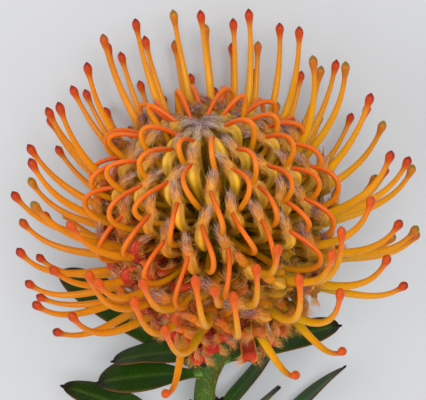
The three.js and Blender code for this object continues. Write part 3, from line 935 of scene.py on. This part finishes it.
def bract(shape, rng, row, azimuth):
    """A pointed woolly scale with a crowned back."""
    out, side = direction(90, azimuth), direction(90, azimuth + 90)
    foot = out * (5.3 + row) + [0, 0, -33 + 2.9 * row]
    tip = out * (8.8 + 1.3 * row) + [0, 0, -26 + 2.6 * row]
    t = parts(14)
    track = Track(lerp(foot, tip, t[:, None]) + out * (1.1 * np.sin(np.pi * t))[:, None], side)
    half = 2.8 * stops([(0, 0.5), (0.35, 1), (0.7, 0.72), (0.9, 0.35), (1, 0.08)], t)
    u = np.linspace(-1, 1, 7)
    x = np.concatenate([u, u[::-1]]) * half[:, None]
    crown = -0.22 * (u**2) * half[:, None]
    y = np.concatenate([crown + BRACT_HALF_THICKNESS, crown - BRACT_HALF_THICKNESS], 1)
    colours = shades([(0, "#55663a"), (0.5, "#5f7f52"), (0.85, "#6d7a48"), (1, "#6a4a30")], t)
    shape.skin(track.rings(x, y), colours[:, None], WOOL)
    fuzz(
        shape, track, (half, 0.3), 90, (0.1, 1.0), rng, (0.6, 1.5), lean=0.6, spread=0.3,
        colours=[(IVORY, 0.5), (OLIVE, 0.3), (STRAW, 0.2)], radius=0.045,
    )


def bracts():
    shape = Shape()
    rng = np.random.default_rng(BRACTS_SEED)
    cup(shape)
    for row in range(BRACT_ROWS):
        for i in range(BRACTS_IN_ROW):
            bract(shape, rng, row, 360 * (i + row % 2 / 2) / BRACTS_IN_ROW)
    shape.build("woolly_bracts", "involucral_bracts")


def stem_line(count):
    """Points down the middle of the stem, through its named points as a smooth curve."""
    knots = np.array(STEM_POINTS, float)
    ends = np.concatenate([[2 * knots[0] - knots[1]], knots, [2 * knots[-1] - knots[-2]]])
    points = []
    for s in np.linspace(0, len(knots) - 1, count):
        i = min(int(s), len(knots) - 2)
        a, b, c, d = ends[i : i + 4]
        points.append(bezier(b, b + (c - a) / 6, c - (d - b) / 6, c, [s - i])[0])
    return np.array(points)


STEM_LINE = stem_line(90)


def stem_at(height):
    return np.array([np.interp(-height, -STEM_LINE[:, 2], STEM_LINE[:, i]) for i in range(3)])


CUT = [  # part of the radius, how far it stands out, and the colour of rind, pale wood and pith
    (1.0, -0.42, "#6b8238"), (1.0, -0.02, "#6b8238"), (0.93, 0.06, "#8fa04c"),
    (0.86, 0.1, "#d9d3a0"), (0.4, 0.12, "#cfc88e"), (0.32, 0.1, "#b8ac6a"), (0.05, 0.08, "#c9be7e"),
]


def stem():
    shape = Shape()
    rng = np.random.default_rng(STEM_SEED)
    track = Track(STEM_LINE, [0, 1, 0])
    t = parts(len(STEM_LINE))
    turn = around(26)
    ribs = 1 + 0.03 * np.cos(5 * turn + 9 * t[:, None]) + 0.015 * np.cos(13 * turn)
    half = 0.99 * STEM_RADIUS * (1.0 + 0.02 * np.cos(21 * t))
    # Painted shade: darker near the head, where the flower shades the stem, and lighter green
    # further down.
    colours = shades(
        [(0, "#3a5218"), (0.2, "#304c1a"), (0.4, "#3a581a"), (0.7, "#4a6c20"), (1, "#5e7a2c")], t
    )
    reddish = smooth(np.cos(turn + 2.0) + 0.3 * np.cos(17 * t)[:, None], 0.5, 1.2)[..., None]
    colours = lerp(colours[:, None], linear("#6e4c22"), 0.45 * reddish)
    shape.skin(track.ovals(turn, half, half, ribs), colours, STEM)

    spokes = track.across[-1] * np.cos(turn)[:, None] + track.out[-1] * np.sin(turn)[:, None]
    spokes *= 0.97 * STEM_RADIUS
    rings = [STEM_LINE[-1] + spokes * part + track.ahead[-1] * rise for part, rise, _ in CUT]
    shape.skin(np.array(rings), np.array([[linear(colour)] for *_, colour in CUT]), STEM)

    fuzz(
        shape, track, (STEM_RADIUS, STEM_RADIUS), 1600, (0.0, 0.99), rng, (0.4, 1.1), lean=0.3,
        spread=0.35, colours=[(IVORY, 0.6), (OLIVE, 0.4)], radius=0.035,
    )
    for at, azimuth, *_ in LEAVES.values():
        out = direction(90, -azimuth)
        bud(shape, stem_at(at + BUD_RISE) + out * (STEM_RADIUS + 0.4), out)
    shape.build("green_stem", "stem")


def bud(shape, middle, out):
    """A dark bud of small overlapping scales, in the angle of a leaf."""
    up = np.array([0, 0, 1.0])
    t = parts(8)
    half = 1.7 * stops([(0, 0.6), (0.4, 1), (0.8, 0.6), (1, 0.12)], t)
    colours = shades([(0, "#3c4a22"), (0.6, "#26301c"), (1, "#1c1612")], t)[:, None]
    for i in range(9):
        side = turned(np.cross(up, out), unit(up + 0.4 * out), DIVERGENCE * i)
        lean = unit(up + 0.35 * out + 0.35 * side)
        points = middle - up * 1.8 + side * 0.5 + lean * (t * (6.0 - 0.25 * i))[:, None]
        track = Track(points, np.cross(lean, side))
        shape.skin(track.ovals(around(8), half, half * 0.6), colours, WOOL)


# ---- leaves ----


def leaf_width(t):
    """Part of the full width at part t of the length: narrow foot, widest past the middle."""
    rising = 0.2 + 0.8 * np.sin(np.pi / 2 * np.clip(t / LEAF_WIDEST, 0, 1)) ** 1.5
    past = np.clip((t - LEAF_WIDEST) / (1 - LEAF_WIDEST), 0, 1)
    return np.where(t < LEAF_WIDEST, rising, np.maximum(np.sqrt(1 - past**2.4), 0.03))


def leaf_colours(t, u, rib, vein):
    """Colours of the top of a leaf, and of its underside."""
    blade = shades([(0, "#3c640e"), (0.15, "#2c5208"), (0.6, "#244608"), (1, "#1c340a")], t)
    below = shades([(0, "#4a701c"), (0.5, "#3a5c14"), (1, "#345016")], t)
    margin = smooth(np.abs(u) + 0.1 * smooth(t, 0.6, 1)[:, None], 0.9, 1.0)[..., None]
    tip = smooth(t, 0.9, 0.99)[:, None, None]
    pale = (0.5 * rib[:, None] + 0.15 * vein[..., None]) * (1 - tip)
    for colours, strength in ((blade, 0.8), (below, 0.7)):
        colours = lerp(colours[:, None], linear("#6a8c34"), strength * pale)
        colours = lerp(colours, linear("#5c3218"), 0.8 * margin)
        yield lerp(colours, linear("#241612"), 0.85 * tip)


def leaf(name, number, at, azimuth, spread, bend, twist, length, width):
    shape = Shape()
    out = direction(90, -azimuth)
    side = np.cross([0, 0, 1.0], out)
    t = np.sin(parts(44) * np.pi / 2) ** 0.9
    angle = np.radians(spread + bend * t)[:, None]
    ahead = out * np.sin(angle) + [0, 0, 1] * np.cos(angle)
    steps = ahead * length * np.diff(t, prepend=0)[:, None]
    points = stem_at(at) + out * LEAF_SEAT + np.cumsum(steps, axis=0)
    across = np.array([turned(side, way, twist * part) for way, part in zip(ahead, t)])
    up = np.cross(ahead, across)

    half = width / 2 * leaf_width(t)[:, None]
    u = np.linspace(-1, 1, 17)
    phase = 1.7 * number
    wave = 0.35 * np.sin(9 * t + phase)[:, None] * u**2 * np.sign(u)
    wave += 0.25 * np.sin(7 * t + 2 * phase)[:, None] * u**2
    fold = 0.14 * np.sqrt(u**2 + 0.02) * half
    vein = np.sin((t[:, None] * 9 - np.abs(u) * 1.1) * 2 * np.pi) ** 8 * (np.abs(u) > 0.08)
    rib = np.exp(-((u / 0.1) ** 2))
    thick = 0.16 + 0.26 * np.sqrt(1 - u**2) * leaf_width(t)[:, None]
    top = fold + wave + thick - 0.1 * rib - 0.05 * vein
    under = fold + wave - thick - 0.35 * rib * (1 - 0.7 * t)[:, None]
    middle = points[:, None] + across[:, None] * (u * half)[..., None]
    sheets = [middle + up[:, None] * lift[..., None] for lift in (top, under)]
    above, below = leaf_colours(t, u, rib, vein)
    rings = np.concatenate([sheets[0], sheets[1][:, ::-1]], 1)
    shape.skin(rings, np.concatenate([above, below[:, ::-1]], 1), LEAF)

    # The dark gland at the tip of the leaf.
    gland = points[-1] + ahead[-1] * np.linspace(-0.6, 1.0, 8)[:, None] + up[-1] * 0.1
    half_width = [0.1, 0.5, 0.62, 0.66, 0.6, 0.48, 0.3, 0.08]
    half_height = [0.1, 0.3, 0.4, 0.42, 0.4, 0.3, 0.2, 0.06]
    rings = Track(gland, across[-1]).ovals(around(8), half_width, half_height)
    shape.skin(rings, linear("#2a1a14"), WOOL)

    # The foot of the leaf reaches to the stem.
    start, end = stem_at(at) + out * (STEM_RADIUS - 0.5), points[0] + ahead[0] * 1.2
    track = Track(lerp(start, end, parts(6)[:, None]), side)
    rings = track.ovals(around(10), np.linspace(1.9, width * 0.11, 6), np.linspace(1.2, 0.4, 6))
    shape.skin(rings, linear("#5a7f30"), LEAF)
    shape.build(f"{name}_blade", name)


# ---- camera, floor and light ----

CAMERA_TILT = 13  # how far the camera leans from straight above towards the tip of the head
CAMERA_ROLL = -8.5
CAMERA_DISTANCE = 0.340
CAMERA_LENS = 103.4
VIEW_RIGHT, VIEW_UP = -0.00083, 0.00667  # from the middle of the head to the middle of the view
BACKGROUND = (1.0, 0.985, 0.96, 1)
BACKGROUND_STRENGTH = 0.75
FADE = (0.25, 1.5)  # metres from the flower where the floor starts and ends fading
FLOOR_REACH = 6
FLOOR_COLOURS = {"A": (0.53, 0.548, 0.575, 1), "B": (0.547, 0.565, 0.592, 1)}


def camera():
    tilt, roll = np.radians(CAMERA_TILT), np.radians(CAMERA_ROLL)
    turn = Matrix.Rotation(-tilt, 4, "X") @ Matrix.Rotation(roll, 4, "Z")
    data = bpy.data.cameras.new("camera")
    data.lens = CAMERA_LENS
    data.clip_start = 0.01
    item = add_object("camera", data)
    place = Vector(HEAD) + turn.to_3x3() @ Vector((VIEW_RIGHT, VIEW_UP, CAMERA_DISTANCE))
    item.matrix_world = Matrix.Translation(place) @ turn
    bpy.context.scene.camera = item


def floor():
    """A plain floor, which fades into the background far out, so that no horizon shows."""
    mesh = bpy.data.meshes.new("floor")
    signs = ((-1, -1), (1, -1), (1, 1), (-1, 1))
    mesh.from_pydata([(x * FLOOR_REACH, y * FLOOR_REACH, 0) for x, y in signs], [], [(0, 1, 2, 3)])
    material, nodes, shader = new_material("pale_floor")
    sockets = {"Factor": noise(nodes, 40, 4), **FLOOR_COLOURS}
    colour = add_node(nodes, "Mix", sockets, data_type="RGBA")["Result"]
    fill(shader, {"Base Color": colour, "Roughness": 0.85, "Specular IOR Level": 0.2})
    place = add_node(nodes, "TexCoord")["Object"]
    distance = add_node(nodes, "VectorMath", {0: place}, operation="LENGTH")["Value"]
    glow = add_node(nodes, "Emission", {"Color": BACKGROUND, "Strength": BACKGROUND_STRENGTH})
    faded = remap(nodes, distance, 0, 1, *FADE)
    blend = {"Fac": faded, 1: shader.outputs["BSDF"], 2: glow["Emission"]}
    fill(nodes["Material Output"], {"Surface": add_node(nodes, "MixShader", blend)["Shader"]})
    mesh.materials.append(material)
    add_object("floor", mesh)


def softbox(name, place, size, watts):
    """A lamp that points at the middle of the head, with one edge along X."""
    data = bpy.data.lights.new(name, "AREA")
    data.shape = "RECTANGLE"
    data.size, data.size_y = size
    data.energy = watts
    back = (Vector(place) - Vector(HEAD)).normalized()
    right = Vector((0, 1, 0)).cross(back).normalized()
    turn = Matrix((right, back.cross(right), back)).transposed()
    add_object(name, data).matrix_world = Matrix.Translation(place) @ turn.to_4x4()


def studio():
    world = bpy.data.worlds.new("studio")
    world.use_nodes = True
    background = world.node_tree.nodes["Background"]
    fill(background, {"Color": BACKGROUND, "Strength": BACKGROUND_STRENGTH})
    bpy.context.scene.world = world
    softbox("overhead", (0.15, 0.32, 1.18), (0.5, 0.5), watts=7.7)
    softbox("left", (-0.9, 0.0, 0.7), (0.4, 0.8), watts=3.1)
    bpy.context.scene.view_settings.view_transform = "Standard"


camera()
floor()
studio()
receptacle()
bracts()
stem()
for number, (name, size) in enumerate(LEAVES.items()):
    leaf(name, number, *size)
florets()
